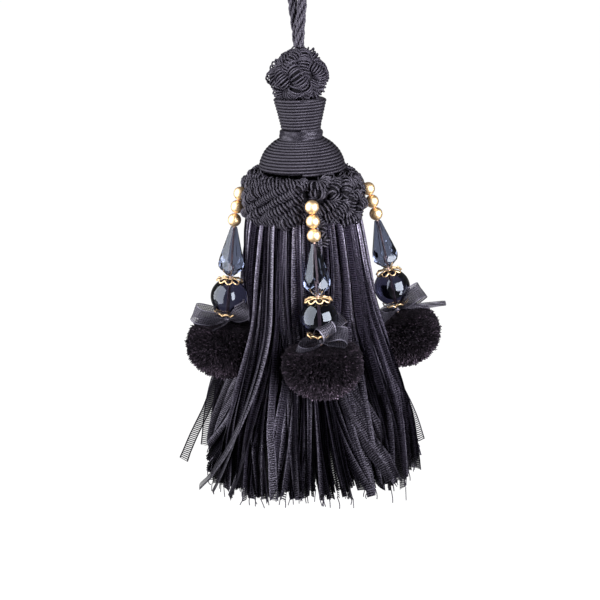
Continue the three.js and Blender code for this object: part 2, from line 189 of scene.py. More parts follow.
def smooth_route(points, step):
    """A smooth curve through points, laid out again in even steps"""
    points = np.asarray(points, float)
    chord = np.sqrt(np.linalg.norm(np.diff(points, axis=0), axis=1))
    knots = np.concatenate([[0], np.cumsum(chord)])
    slopes = np.gradient(points, knots, axis=0)
    dense = []
    for i in range(len(points) - 1):
        t = np.linspace(0, 1, 40, endpoint=False)[:, None]
        gap = knots[i + 1] - knots[i]
        dense.append((2 * t**3 - 3 * t**2 + 1) * points[i] + (t**3 - 2 * t**2 + t) * gap * slopes[i]
                     + (3 * t**2 - 2 * t**3) * points[i + 1] + (t**3 - t**2) * gap * slopes[i + 1])
    dense = np.concatenate(dense + [points[-1:]])
    run = run_along(dense)
    count = max(2, round(run[-1] / step) + 1)
    even = np.linspace(0, run[-1], count)
    return np.stack([np.interp(even, run, line) for line in dense.T], axis=1)


def unit(vectors):
    return vectors / np.linalg.norm(vectors, axis=-1, keepdims=True)


def carried(path):
    """The length run along a path, and two directions across it that are carried without twist"""
    run = run_along(path)
    ahead = unit(np.gradient(path, axis=0))
    side = np.empty_like(ahead)
    last = np.eye(3)[np.argmin(np.abs(ahead[0]))]
    for i, heading in enumerate(ahead):
        last = last - heading * (last @ heading)
        last = last / math.sqrt(last @ last)
        side[i] = last
    return run, side, np.cross(ahead, side)


def woven(points, uv, capped=False):
    """A surface from rows of points. Where uv has one column more than points, each row closes."""
    rows, columns = points.shape[:2]
    spans = uv.shape[1] - 1
    row, column = np.meshgrid(np.arange(rows - 1), np.arange(spans), indexing="ij")
    after = (column + 1) % columns
    quads = np.stack([row * columns + column, row * columns + after,
                      (row + 1) * columns + after, (row + 1) * columns + column], axis=-1).reshape(-1, 4)
    corners = np.stack([uv[:-1, :-1], uv[:-1, 1:], uv[1:, 1:], uv[1:, :-1]], axis=2).reshape(-1, 4, 2)
    if capped:
        k = np.arange(columns // 2 - 1)
        fan = np.stack([k, k + 1, columns - 2 - k, columns - 1 - k], axis=1)
        quads = np.concatenate([quads, fan[:, ::-1], fan + (rows - 1) * columns])
        corners = np.concatenate([corners, uv[0][fan[:, ::-1]], uv[-1][fan]])
    return points.reshape(-1, 3), quads, corners


def tube(path, radius, around=8):
    """A round yarn along a path, its ends closed; radius is one number or one for each step"""
    run, side, other = carried(path)
    radius = np.broadcast_to(radius, run.shape)[:, None, None]
    turn = all_round(around)[None, :, None]
    points = path[:, None] + radius * (side[:, None] * np.cos(turn) + other[:, None] * np.sin(turn))
    girth = 2 * math.pi * float(radius.mean())
    return woven(points, rows_of(run, np.linspace(0, girth, around + 1)), capped=True)


def as_piece(name, mesh, material):
    """A mesh as one object of one material. It hangs on the tassel's one body."""
    mesh.materials.append(material)
    made = in_scene(name, mesh)
    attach(made, "root")
    return made


def make_piece(name, surfaces, material, extra=None):
    """One object from surfaces in millimetres; extra is a pair of values for each of their points"""
    start = np.cumsum([0] + [len(points) for points, _, _ in surfaces])
    points = np.concatenate([points for points, _, _ in surfaces])
    quads = np.concatenate([quads + first for (_, quads, _), first in zip(surfaces, start)])
    corners = np.concatenate([corners for _, _, corners in surfaces])
    mesh = bpy.data.meshes.new(name)
    mesh.vertices.add(len(points))
    mesh.vertices.foreach_set("co", (points * 0.001).astype(np.float32).ravel())
    mesh.loops.add(quads.size)
    mesh.loops.foreach_set("vertex_index", quads.astype(np.int32).ravel())
    mesh.polygons.add(len(quads))
    mesh.polygons.foreach_set("loop_start", np.arange(0, quads.size, 4, dtype=np.int32))
    mesh.polygons.foreach_set("use_smooth", np.full(len(quads), True))
    mesh.uv_layers.new(name="thread").data.foreach_set("uv", corners.astype(np.float32).ravel())
    if extra is not None:
        mesh.uv_layers.new(name="cut").data.foreach_set("uv", extra[quads].astype(np.float32).ravel())
    mesh.update(calc_edges=True)
    mesh.validate()
    return as_piece(name, mesh, material)


def clouds(tree, place, scale, detail=2):
    """Soft patches of a size set by scale, from 0 to 1"""
    values = {"Vector": place, "Scale": scale, "Detail": detail}
    return add_node(tree, "ShaderNodeTexNoise", values).outputs["Fac"]


def blended(tree, share, dark, light):
    """A colour between dark and light"""
    values = {"Factor": share, 6: dark, 7: light}
    return add_node(tree, "ShaderNodeMix", values, data_type="RGBA").outputs[2]


def laid_place(tree, name="thread"):
    """Where a point lies on its thread or ribbon: the pair itself, and along and across apart"""
    place = add_node(tree, "ShaderNodeUVMap", uv_map=name).outputs[0]
    split = add_node(tree, "ShaderNodeSeparateXYZ", {0: place})
    return place, split.outputs[0], split.outputs[1]


# The shared thread effect: fine threads laid side by side at a pitch, a little uneven, that make
# the gloss uneven and stand up as a height. The colour goes from dark in the grooves to light on
# the crests, in cloudy patches: painted shade in the grooves and painted highlight on the crests
thread_group = bpy.data.node_groups.new("laid_threads", "ShaderNodeTree")
for way, kind, labels in (
        ("INPUT", "NodeSocketColor", ("Dark", "Light")),
        ("INPUT", "NodeSocketFloat", ("Pitch", "Slant", "Wander", "Smoothest", "Roughest")),
        ("OUTPUT", "NodeSocketColor", ("Color",)),
        ("OUTPUT", "NodeSocketFloat", ("Roughness", "Height"))):
    for label in labels:
        thread_group.interface.new_socket(label, in_out=way, socket_type=kind)
given = add_node(thread_group, "NodeGroupInput").outputs
result = add_node(thread_group, "NodeGroupOutput")
place, along, across = laid_place(thread_group)
cloud = clouds(thread_group, place, 1.1, detail=3)
fuzz = clouds(thread_group, place, 6)
slanted = reckoned(thread_group, "MULTIPLY_ADD", across, given["Slant"], along)
counted = reckoned(thread_group, "DIVIDE", slanted, given["Pitch"])
wandered = reckoned(thread_group, "MULTIPLY_ADD", cloud, given["Wander"], counted)
wave = reckoned(thread_group, "SINE", reckoned(thread_group, "MULTIPLY", wandered, 2 * math.pi))
raised = ranged(thread_group, wave, given=(-1, 1))
height = reckoned(thread_group, "MULTIPLY_ADD", fuzz, 0.5, raised)
# painted shade and highlight: the colour follows the threads' height, dark in the grooves and light on the
# crests
patchy_groove_shade = reckoned(thread_group, "MULTIPLY", cloud, height)
groove_shaded_colour = blended(thread_group, patchy_groove_shade, given["Dark"], given["Light"])
gloss = ranged(thread_group, fuzz, (0.3, 0.7), (given["Smoothest"], given["Roughest"]))
fill(thread_group, result, {"Color": groove_shaded_colour, "Roughness": gloss, "Height": height})


def thread_finish(name, dark, light, pitch, slant, wander, rough, raise_by, sheen=0.5):
    """A textile material from the shared threads; rough runs from the smoothest to the roughest
    thread, and raise_by is in millimetres"""
    material = plain_finish(name, {"Specular Tint": (0.9, 0.82, 1, 1), "Specular IOR Level": sheen})
    tree = material.node_tree
    values = {"Dark": (*dark, 1), "Light": (*light, 1), "Pitch": pitch, "Slant": slant, "Wander": wander,
              "Smoothest": rough[0], "Roughest": rough[1]}
    threads = add_node(tree, "ShaderNodeGroup", values, node_tree=thread_group).outputs
    bump = add_node(tree, "ShaderNodeBump", {"Height": threads["Height"], "Strength": 0.9,
                                             "Distance": raise_by * 0.001})
    dress(material, {"Base Color": threads["Color"], "Roughness": threads["Roughness"],
                     "Normal": bump.outputs[0]})
    return material


cord_finish = thread_finish(
    "rayon_cord", dark=(0.005, 0.0042, 0.006), light=(0.022, 0.019, 0.027), pitch=0.24,
    slant=0.9, wander=0.5, rough=(0.28, 0.45), raise_by=0.03)


def twisted(path, lay, count, offset):
    """The paths of strands that twist together about a path; lay is the length of one turn"""
    run, side, other = carried(path)
    turns = (2 * math.pi * (run / lay + k / count) for k in range(count))
    return [path + offset * (side * np.cos(turn)[:, None] + other * np.sin(turn)[:, None])
            for turn in turns]


other_half = [(-x, -y, z) for x, y, z in reversed(HALF_ROUTE[:-1])]
cord_path = smooth_route(HALF_ROUTE + other_half, step=0.4)
yarns = []
for ply in twisted(cord_path, CORD["ply_lay"], CORD["plies"], CORD["diameter"] / 2 - CORD["ply_radius"]):
    for yarn in twisted(ply, YARN["lay"], YARN["yarns"], CORD["ply_radius"] - YARN["radius"]):
        yarns.append(tube(yarn, YARN["radius"], around=8))
hanging_loop = make_piece("laid_cord_loop", yarns, cord_finish)
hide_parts("hanging_loop")


# Top knot: a round button knot worked over and under from fat gimp, a core that a yarn is wound
# round like a spring. It covers a small wooden ball and sits on the cup.
BALL_CENTRE = -72.4
BALL_RADIUS = 10
BALL_HALF_HEIGHT = 8.5
KNOT_LEADS = 4
KNOT_BIGHTS = 7
KNOT_REACH = math.radians(68)
FAT_GIMP = {"radius": 1.95, "yarn": 0.3, "pitch": 0.7, "loose": 0.42}
PEAR = 0.13
OVER_UNDER = 0.85
HEART_INSET = (2.6, 1.6)
random = np.random.default_rng(7)


def about_axis(radius, turn, height):
    """Points at a radius and a turn from the front about the tassel's axis, and at a height"""
    return np.stack(np.broadcast_arrays(radius * np.sin(turn), -radius * np.cos(turn), height), axis=-1)


def wander(count, spread, random):
    """Smooth unevenness: a random walk of steps that are blended over a spread of samples"""
    knots = np.arange(-1, count / spread + 3)
    return np.interp(np.arange(count) / spread, knots, random.normal(size=len(knots)))


def wound_gimp(path, gimp, random, radius=None, steps_a_turn=14, around=5):
    """The core and the yarn wound round it, whose turns stand up unevenly where loose is more"""
    run, side, other = carried(path)
    radius, yarn, pitch, loose = radius or gimp["radius"], gimp["yarn"], gimp["pitch"], gimp["loose"]
    turns = run[-1] / pitch
    count = int(turns * steps_a_turn)
    at = np.linspace(0, run[-1], count)
    creep = wander(count, steps_a_turn * 3, random) * loose * pitch
    place = np.clip(at + creep, 0, run[-1])
    middle, across, over = (np.stack([np.interp(place, run, line[:, k]) for k in range(3)], axis=1)
                            for line in (path, side, other))
    turn = (2 * math.pi * at / pitch)[:, None]
    bulge = 1 + loose * np.abs(wander(count, steps_a_turn * 1.4, random))[:, None]
    coil = middle + (radius - yarn) * bulge * (across * np.cos(turn) + over * np.sin(turn))
    return tube(path[::3], radius - 1.6 * yarn, around=8), tube(coil, yarn, around)


def button_knot(leads, bights, reach, step):
    """Heading and rise of a knot's one rope, and +1 or -1 where it passes over or under itself"""
    crossings = set()
    for k in range(2 * bights):
        for m in range(1, leads):
            for way in (-1, 1):
                crossing = (leads * (1 + 2 * k) / (2 * bights) + way * m) % (2 * leads)
                crossings.add(round(crossing, 6) % (2 * leads))
    crossings = math.pi * np.array(sorted(crossings))
    heading = np.arange(0, 2 * math.pi * leads, step)
    rise = reach * np.sin(bights * heading / leads)
    sign = np.where(np.arange(len(crossings)) % 2, 1.0, -1.0)
    lift = np.interp(heading, crossings, sign, period=2 * math.pi * leads)
    return heading, rise, np.sin(lift * math.pi / 2)


gimp_yarn = thread_finish(
    "gimp_yarn", dark=(0.004, 0.0033, 0.005), light=(0.026, 0.022, 0.033), pitch=0.2,
    slant=1.2, wander=0.6, rough=(0.28, 0.5), raise_by=0.05)

heading, rise, lift = button_knot(KNOT_LEADS, KNOT_BIGHTS, KNOT_REACH, step=0.03)
lift = lift * OVER_UNDER + 0.5 * wander(len(lift), 12, random)
heading = heading + 0.1 * wander(len(lift), 14, random)
rise = rise + 0.1 * wander(len(lift), 14, random)
sag = FAT_GIMP["radius"] + OVER_UNDER + 0.1
level, upright = BALL_RADIUS - sag + lift, BALL_HALF_HEIGHT - sag + 0.4 + lift
knot_rope = about_axis(level * np.cos(rise), heading, BALL_CENTRE + upright * np.sin(rise))


def dark_ball(radius, half_height, centre, across=24, tall=12):
    """A plain round heart under the yarn"""
    up = np.linspace(-1.5, 1.5, tall)[:, None]
    turn = all_round(across)[None]
    points = np.stack([radius * np.cos(up) * np.cos(turn), radius * np.cos(up) * np.sin(turn),
                       centre + half_height * np.sin(up) + 0 * turn], axis=-1)
    uv = rows_of(up[:, 0] * half_height, np.linspace(0, 6 * radius, across + 1))
    return woven(points, uv, capped=True)


def pear(surface):
    """A surface of the knot, drawn in at its top and let out at its foot"""
    points, quads, corners = surface
    spread = 1 - PEAR * (points[:, 2:] - BALL_CENTRE) / BALL_HALF_HEIGHT
    return points * np.concatenate([spread, spread, 1 + 0 * spread], axis=1), quads, corners


# The knot's heart, the cores under the gimp and the ruff's padded ring are black, but this finish is far
# darker than the yarn: painted shade in the gaps between turns and ropes
padding_painted_shade = thread_finish(
    "dark_padding_painted_shade", dark=(0.0012, 0.001, 0.0014), light=(0.004, 0.0035, 0.0045), pitch=0.3,
    slant=0, wander=1, rough=(0.6, 0.8), raise_by=0.05, sheen=0.1)
core, coil = wound_gimp(knot_rope, FAT_GIMP, random)
button = make_piece("button_knot", [pear(coil)], gimp_yarn)
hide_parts("top_knot")
# painted shade: the heart and the core seen through the knot's gaps take the darker padding finish
heart = dark_ball(BALL_RADIUS - HEART_INSET[0], BALL_HALF_HEIGHT - HEART_INSET[1], BALL_CENTRE)
make_piece("knot_mould", [pear(heart), pear(core)], padding_painted_shade)


# Cup and dome: turned wooden moulds, each wound round and round with smooth gimp. The winding of
# the cup ends under the ball and that of the dome under the neck band.
GIMP_RADIUS = 0.47
CUP = {"top": -80, "bottom": -89.7, "top_radius": 8.3, "bottom_radius": 6.1, "rounds": 10, "flare": 1.15}
DOME = {"top": -92.75, "bottom": -102.6, "radius": 13.8, "top_radius": 6.6, "rounds": 12}
GIMP_SINK = 0.112
MOULD_INSET = 0.6
STEPS_A_ROUND = 110

smooth_gimp = thread_finish(
    "smooth_gimp", dark=(0.003, 0.0026, 0.0036), light=(0.017, 0.0145, 0.0205), pitch=0.16,
    slant=0.25, wander=0.5, rough=(0.3, 0.52), raise_by=0.03, sheen=0.34)


def cup_outline(up):
    flare = up ** CUP["flare"]
    radius = CUP["bottom_radius"] + (CUP["top_radius"] - CUP["bottom_radius"]) * flare
    return radius, CUP["bottom"] + (CUP["top"] - CUP["bottom"]) * up


def dome_outline(up):
    last = math.asin(DOME["top_radius"] / DOME["radius"])
    turn = math.pi / 2 + (last - math.pi / 2) * up
    rise = (DOME["top"] - DOME["bottom"]) / math.cos(last)
    return DOME["radius"] * np.sin(turn), DOME["bottom"] + rise * np.cos(turn)


def winding(outline, rounds):
    """Gimp wound up a mould in one helix, and the mould itself just under it"""
    count = rounds * STEPS_A_ROUND
    turn = np.arange(count + 1) * 2 * math.pi / STEPS_A_ROUND
    radius, height = outline(np.linspace(0, 1, count + 1))
    radius = radius - GIMP_SINK + 0.03 * wander(count + 1, 40, random)
    height = height + 0.03 * wander(count + 1, 60, random)
    helix = about_axis(radius, turn, height)
    bare_radius, bare_height = outline(np.linspace(0, 1, rounds + 1)[:, None])
    points = about_axis(bare_radius - MOULD_INSET, all_round(48), bare_height)
    uv = rows_of(bare_height[:, 0], np.linspace(0, 40, 49))
    return [tube(helix, GIMP_RADIUS, around=12), woven(points, uv, capped=True)]


for name, outline, mould in (("cup", cup_outline, CUP), ("dome", dome_outline, DOME)):
    wound = make_piece(f"{name}_winding", winding(outline, mould["rounds"]), smooth_gimp)
    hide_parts(name)


# Neck band: untwisted satin floss, wrapped flat round the waist between cup and dome.
NECK = {"top": -89.8, "bottom": -92.9, "radius": 7.0}
FLOSS_THREADS = 15

floss_finish = thread_finish(
    "satin_floss", dark=(0.003, 0.0026, 0.0038), light=(0.02, 0.0175, 0.0245), pitch=0.2,
    slant=0, wander=2.2, rough=(0.24, 0.44), raise_by=0.06, sheen=0.38)

rows = FLOSS_THREADS * 5
down = np.linspace(0, 1, rows)[:, None]
turn = all_round(120)[None]
sway = 0.5 * np.sin(2 * turn + 0.8) + 0.35 * np.sin(5 * turn + 2)
ridge = np.cos(2 * math.pi * FLOSS_THREADS * down + sway * 5)
belly = 0.75 * (1 - np.clip(3.5 * down, 0, 1)) ** 2 + 0.3 * np.clip(5 * down - 4, 0, 1) ** 2
radius = NECK["radius"] - belly + 0.06 * ridge + 0.1 * np.sin(3 * turn + 9 * down)
points = about_axis(radius, turn, NECK["top"] + (NECK["bottom"] - NECK["top"]) * down + 0.12 * sway)
uv = rows_of(np.linspace(0, NECK["bottom"] - NECK["top"], rows), np.linspace(0, 0.9, 121))
band = make_piece("floss_band", [woven(points, uv, capped=True)], floss_finish)
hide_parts("neck_band")


# Ruff: a thick collar of curly bullion over a padded ring. Its ropes are laid slanting up to the
# right in four bunches, which dive in under the four strands of beads and leave a notch there.
RUFF = {"centre": -110.9, "half_height": 7.9, "middle": 16.9, "outward": 4.1, "lean": 0.5, "square": 0.75}
BULLION = {"radius": 1.6, "yarn": 0.34, "pitch": 0.98, "loose": 0.3}
BUNCH_SPAN = (4, 86)
ROPE_WRAP = math.radians(220)
PADDING_INSET = {"outward": 3.2, "half_height": 3.4}
RUFF_BUNCHES = [
    {"start": -84, "run": 112, "curl": 0.6},
    {"start": 6, "run": 56, "curl": 2},
    {"start": 96, "run": 95, "curl": 0.8},
    {"start": 186, "run": 70, "curl": 1.2},
]
ROPES_A_BUNCH = 12
# The four strands: the turn of each from the front in degrees, where its first bead hangs, how far
# it leans outward and swings aside in degrees, how far its first beads tuck in, and how far down
# its pompom is
STRAND_COLUMNS = ("name", "turn", "reach", "height", "lean", "swing", "tuck", "pompom")
STRANDS = [dict(zip(STRAND_COLUMNS, row)) for row in (
    ("front", 6.4, 23.4, -110.7, 4.4, 1.7, 0.3, 50.6),
    ("left", -84, 21.7, -109.8, 6.8, 0, 1.2, 51.9),
    ("right", 96, 22.4, -110.4, 11.5, 0, 0.7, 51.9),
    ("back", 186, 22.4, -110.6, 6, -1.2, 0.6, 51.6),
)]
GOLD_PITCH = 4.45
# The room that a strand needs, as upright ovals at their distances down it, and the notch above it
BERTH_COLUMNS = ("down", "half_width", "half_height", "depth")
BERTHS = [dict(zip(BERTH_COLUMNS, row)) for row in (
    (-4.5, 2.6, 3.2, 2.4),
    (4.5, 2.6, 8, 2.6),
    (21, 4.6, 9.5, 4.6),
    (35, 6.2, 6.8, 6.2),
    (41, 13, 6.5, 7.5),
    (51.4, 13, 12, 13),
)]
NOTCH = {"down": -5, "half_width": 2.4, "half_height": 4.2, "depth": 5}
NOTCH_RECOVERY = 5


def strand_at(strand, down):
    """Where a point of a strand is: outward, aside to the right of that, and up"""
    lean, swing = math.radians(strand["lean"]), math.radians(strand["swing"])
    tuck = strand["tuck"] * max(0, 1 - down / (2 * GOLD_PITCH))
    return (strand["reach"] + down * math.sin(lean) * math.cos(swing) - tuck, down * math.sin(swing),
            strand["height"] - down * math.cos(lean) * math.cos(swing))


def clear_radius(azimuth, z, margin, berths=BERTHS, recovery=1):
    """How far out from the axis a thing may be, in a direction and at a height, before a strand;
    beside the strand it comes out the faster, the more recovery is"""
    clear = np.full(np.broadcast(azimuth, z).shape, np.inf)
    for strand in STRANDS:
        for berth in berths:
            out, aside, centre = strand_at(strand, berth["down"])
            turned = azimuth - math.radians(strand["turn"]) - math.atan2(aside, out)
            radius = math.hypot(out, aside)
            level = 1 - ((z - centre) / (berth["half_height"] + margin)) ** 2
            size = np.sqrt(np.maximum(level, 1e-6))
            depth, width = (berth["depth"] + margin) * size, (berth["half_width"] + margin) * size
            spread = (np.cos(turned) / depth) ** 2 + (np.sin(turned) / width) ** 2
            middle = radius * np.cos(turned) / depth**2
            overlap = middle**2 - spread * ((radius / depth) ** 2 - 1)
            beside = np.where(overlap > 0, -1, recovery) * np.sqrt(np.abs(overlap))
            entry = (middle + beside) / spread
            clear = np.where((level > 0) & (np.cos(turned) > 0), np.minimum(clear, entry), clear)
    return clear


bullion_finish = thread_finish(
    "bullion_yarn", dark=(0.002, 0.0016, 0.0026), light=(0.015, 0.0128, 0.0192), pitch=0.26,
    slant=1.2, wander=0.6, rough=(0.26, 0.46), raise_by=0.05, sheen=0.62)


def ruff_rope(azimuth, section, thick, curl, random):
    """A rope's route over the padded ring, from its place round the tassel and round the ring"""
    count = len(azimuth)
    azimuth = azimuth + curl * 0.035 * wander(count, 4, random)
    up, out = np.sin(section), np.sign(np.cos(section)) * np.abs(np.cos(section)) ** RUFF["square"]
    radius = RUFF["middle"] + (RUFF["outward"] - thick) * out - RUFF["lean"] * up
    radius = radius + 0.3 * (1 + curl) * wander(count, 6, random)
    z = RUFF["centre"] + (RUFF["half_height"] - thick) * up + 0.4 * curl * wander(count, 5, random)
    radius = np.minimum(radius, clear_radius(azimuth, z, thick * 0.7))
    radius = np.minimum(radius, clear_radius(azimuth, z, thick * 0.5, [NOTCH], NOTCH_RECOVERY))
    return about_axis(radius, azimuth, z)


def bullion_rope(path, thick, random):
    return wound_gimp(smooth_route(path, step=0.35), BULLION, random, thick, steps_a_turn=10, around=4)


ruff_cores, ruff_coils = [], []
for bunch in RUFF_BUNCHES:
    run = math.radians(bunch["run"])
    first, last = (math.radians(bunch["start"] + edge) for edge in BUNCH_SPAN)
    for rope in range(ROPES_A_BUNCH):
        share = np.linspace(-0.5, 0.5, 46)
        centre = first - run / 2 + (rope + 0.5) / ROPES_A_BUNCH * (last - first + run)
        azimuth = centre + run * share
        section = ROPE_WRAP * share
        kept = (azimuth > first) & (azimuth < last)
        if kept.sum() < 7:
            continue
        thick = BULLION["radius"] * (1 + 0.1 * random.normal())
        path = ruff_rope(azimuth[kept], section[kept], thick, bunch["curl"], random)
        edge = np.minimum(azimuth - first, last - azimuth)[kept] * RUFF["middle"]
        dive = 1 - 0.16 * np.clip(1 - edge / 3, 0, 1) ** 2
        path = path * np.stack([dive, dive, 1 + 0 * dive], axis=1)
        core, coil = bullion_rope(path[::2], thick, random)
        ruff_cores.append(core)
        ruff_coils.append(coil)
loose_end = [(4.4, -18.6, -115.6), (6.2, -20.3, -117.6), (5.3, -21.4, -119.6), (6.9, -21.7, -121.2),
             (5.9, -21.9, -123.6)]
core, coil = bullion_rope(np.array(loose_end), 1.2, random)
ruff_cores.append(core)
ruff_coils.append(coil)

# painted shade: the padded ring and the rope cores take the far darker padding finish, so the gaps between
# the ropes read as shade
section, around = all_round(28)[:, None], all_round(120)[None]
swell = RUFF["outward"] - PADDING_INSET["outward"]
radius = RUFF["middle"] + swell * np.cos(section) - RUFF["lean"] * np.sin(section)
swell = RUFF["half_height"] - PADDING_INSET["half_height"]
level = RUFF["centre"] + swell * np.sin(section) + 0 * around
radius = np.minimum(radius + 0 * around, clear_radius(around, level, 2, BERTHS + [NOTCH], NOTCH_RECOVERY))
padding = about_axis(radius, around, level)
padding = np.concatenate([padding, padding[:1]])
uv = rows_of(np.linspace(0, 40, 29), np.linspace(0, 100, 121))
make_piece("ruff_padding", [woven(padding, uv)] + ruff_cores, padding_painted_shade)
ruff = make_piece("bullion_ruff", ruff_coils, bullion_finish)
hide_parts("ruff")


# Skirt: narrow ribbed ribbons of open weave, sewn in rings to the core under the ruff. They hang
# edge on or flat, bunch up between the pompoms, fan out below them, and are cut and frayed at the hem.
RIBBON_WIDTH = 3.2
RIB_PITCH = 0.75
SELVEDGE = (1.22, 1.05)
RIBBON_ROOT = -117.5
HEM = -203.8
SKIRT_OUTLINE = [(-117, 17.8), (-120, 18.8), (-132, 20.2), (-147, 23),
                 (-158, 28), (-170, 33.4), (-192, 35.8), (-210, 37.4)]
RIBBON_RINGS = [
    {"count": 156, "share": 1.0, "loose": 0.035},
    {"count": 130, "share": 0.95, "loose": 0.05},
    {"count": 110, "share": 0.89, "loose": 0.05},
    {"count": 64, "share": 0.78, "loose": 0.06},
    {"count": 40, "share": 0.6, "loose": 0.08},
    {"count": 20, "share": 0.34, "loose": 0.08},
]
# Ribbons that stand out in the photo. Each row says where one leaves the ruff, how far it drifts
# sideways on the way down and how late, how far out its end stands and how late it flicks out
# there, how low it ends, how it lies at its top and its hem, how much of its end is open ladder,
# and how light it is.
STRAY_COLUMNS = ("turn", "drift", "late", "out", "flick", "hem", "lie", "open", "shade")
STRAY_RIBBONS = [dict(zip(STRAY_COLUMNS, row)) for row in (
    (-119, 9, 3, 10, 3, -211, (70, 74), 34, 0.45),
    (-117, 4, 2, 3.2, 0.6, -206, (66, 72), 30, 0.45),
    (-114, 2, 1, 0.5, 1.5, -204, (76, 70), 0, 0.5),
    (-122, 3, 1, 1.5, 1.5, -202, (86, 80), 0, 0.5),
    (-31, -36, 4.2, 2.5, 4, -207, (60, 10), 16, 0.5),
    (-35, -22, 3.4, 1.2, 3, -206, (60, 25), 7, 0.45),
    (-28, -15, 3, 1.6, 3, -205.5, (55, 30), 0, 0.45),
    (-20, 14, 2.6, 1.8, 3, -203, (-60, 15), 0, 0.55),
    (-17, 9, 2.2, 1.4, 3, -202.4, (65, 45), 5, 0.45),
    (31, 14, 3.2, 2, 3, -202, (75, 45), 9, 0.6),
    (28, 12, 3.5, 1.2, 3, -201, (70, 50), 8, 0.5),
    (117, -6, 3, 5, 1.6, -206.5, (-66, -72), 40, 0.45),
    (110, -8, 2, 0.5, 1.5, -203, (-70, -76), 12, 0.5),
)]
TABLE_TURNS = 180
TABLE_DROPS = 59
TABLE_BLENDS = 18
RIBBON_STEPS = 30
LADDER_RAMP = 24
# Painted shade along each ribbon: its colour and gloss are scaled from ROOT_SHADE at the root down to
# HEM_SHADE at the hem
ROOT_SHADE = 3.7
HEM_SHADE = 0.45
FRAY = {"share": 0.3, "length": (1.2, 4), "radius": 0.18}
BEHIND_STRAND = (-8, 36)
RIBBON_COLUMNS = 5
PRESSES = [
    {"berths": BERTHS[:4], "margin": 2, "level": 3, "fall": 0.4, "reach": 0.75, "spread": 6},
    {"berths": BERTHS[4:], "margin": 0.7, "level": 5, "fall": 0.5, "reach": 0.08, "spread": 130},
]

table_turn = np.linspace(-math.pi, math.pi, TABLE_TURNS + 1)
table_drop = np.linspace(RIBBON_ROOT, HEM - 6, TABLE_DROPS + 1)
turn_grid, drop_grid = np.meshgrid(table_turn, table_drop, indexing="ij")
outline_z, outline_radius = np.array(SKIRT_OUTLINE).T
hang_grid = np.interp(-drop_grid, -outline_z, outline_radius)
for press in PRESSES:
    for step in np.arange(-30, 31, 5):
        for turn in np.linspace(-press["reach"], press["reach"], 15):
            pressed = clear_radius(turn_grid + turn, drop_grid + step, press["margin"], press["berths"])
            eased = press["fall"] * max(0, abs(step) - press["level"]) + press["spread"] * abs(turn)
            hang_grid = np.minimum(hang_grid, pressed + eased)
for blend in range(TABLE_BLENDS):
    hang_grid[:, 1:-1] = 0.5 * hang_grid[:, 1:-1] + 0.25 * (hang_grid[:, :-2] + hang_grid[:, 2:])
hang_grid = np.minimum(hang_grid, clear_radius(turn_grid, drop_grid, 0.3))


def hang_radius(azimuth, z):
    """The skirt's radius in a direction and at a height, read from the grid worked out above"""
    turn = ((azimuth + math.pi) % (2 * math.pi)) / (2 * math.pi) * TABLE_TURNS
    drop = np.clip((z - RIBBON_ROOT) / (table_drop[-1] - RIBBON_ROOT), 0, 1) * (TABLE_DROPS - 0.001)
    i, j = turn.astype(int), drop.astype(int)
    a, b = turn - i, drop - j
    near = hang_grid[i % TABLE_TURNS, j] * (1 - b) + hang_grid[i % TABLE_TURNS, j + 1] * b
    i = (i + 1) % TABLE_TURNS
    far = hang_grid[i, j] * (1 - b) + hang_grid[i, j + 1] * b
    return near * (1 - a) + far * a


def shaded(material, level):
    """Makes a textile's colour lighter or darker by a level that changes over it"""
    tree = material.node_tree
    colour = tree.nodes["Principled BSDF"].inputs["Base Color"].links[0].from_socket
    lit = add_node(tree, "ShaderNodeVectorMath", {0: colour, 1: level}, operation="MULTIPLY")
    dress(material, {"Base Color": lit.outputs[0]})


ribbon_finish = thread_finish(
    "ribbed_ribbon", dark=(0.003, 0.0025, 0.004), light=(0.022, 0.0185, 0.029), pitch=0.31,
    slant=0, wander=0.3, rough=(0.3, 0.52), raise_by=0.05)
tree = ribbon_finish.node_tree
place, along, across = laid_place(tree)
openness, tone_and_painted_shade = laid_place(tree, "cut")[1:]
rung_wave = reckoned(tree, "SINE", reckoned(tree, "MULTIPLY", along, 2 * math.pi / RIB_PITCH))
rung_gap = ranged(tree, rung_wave, given=(0.05, 0.35))
from_middle = reckoned(tree, "ABSOLUTE", reckoned(tree, "SUBTRACT", across, RIBBON_WIDTH / 2))
between = reckoned(tree, "MULTIPLY", rung_gap, ranged(tree, from_middle, given=SELVEDGE))
hole = reckoned(tree, "MULTIPLY", between, openness)
# painted light and shade: the rungs are lit up and the gaps between them darkened where the weave is not
# open
rib_light_and_gap_shade = ranged(tree, between, wanted=(1.45, 0.2))
speckled = ranged(tree, clouds(tree, place, 1.9), (0.36, 0.66), (0.4, 1.9))
mottled = reckoned(tree, "MULTIPLY", rib_light_and_gap_shade, speckled)
# the level takes each ribbon's own tone with its painted shade, and sets the gloss as well
level = reckoned(tree, "MULTIPLY", mottled, tone_and_painted_shade)
shaded(ribbon_finish, level)
dress(ribbon_finish, {"Alpha": reckoned(tree, "SUBTRACT", 1, hole),
                      "Specular IOR Level": reckoned(tree, "MULTIPLY", level, 0.42)})
raised = tree.nodes["Bump"].inputs["Height"]
ridges = reckoned(tree, "MULTIPLY_ADD", rung_wave, -0.8, raised.links[0].from_socket)
tree.links.new(ridges, raised)


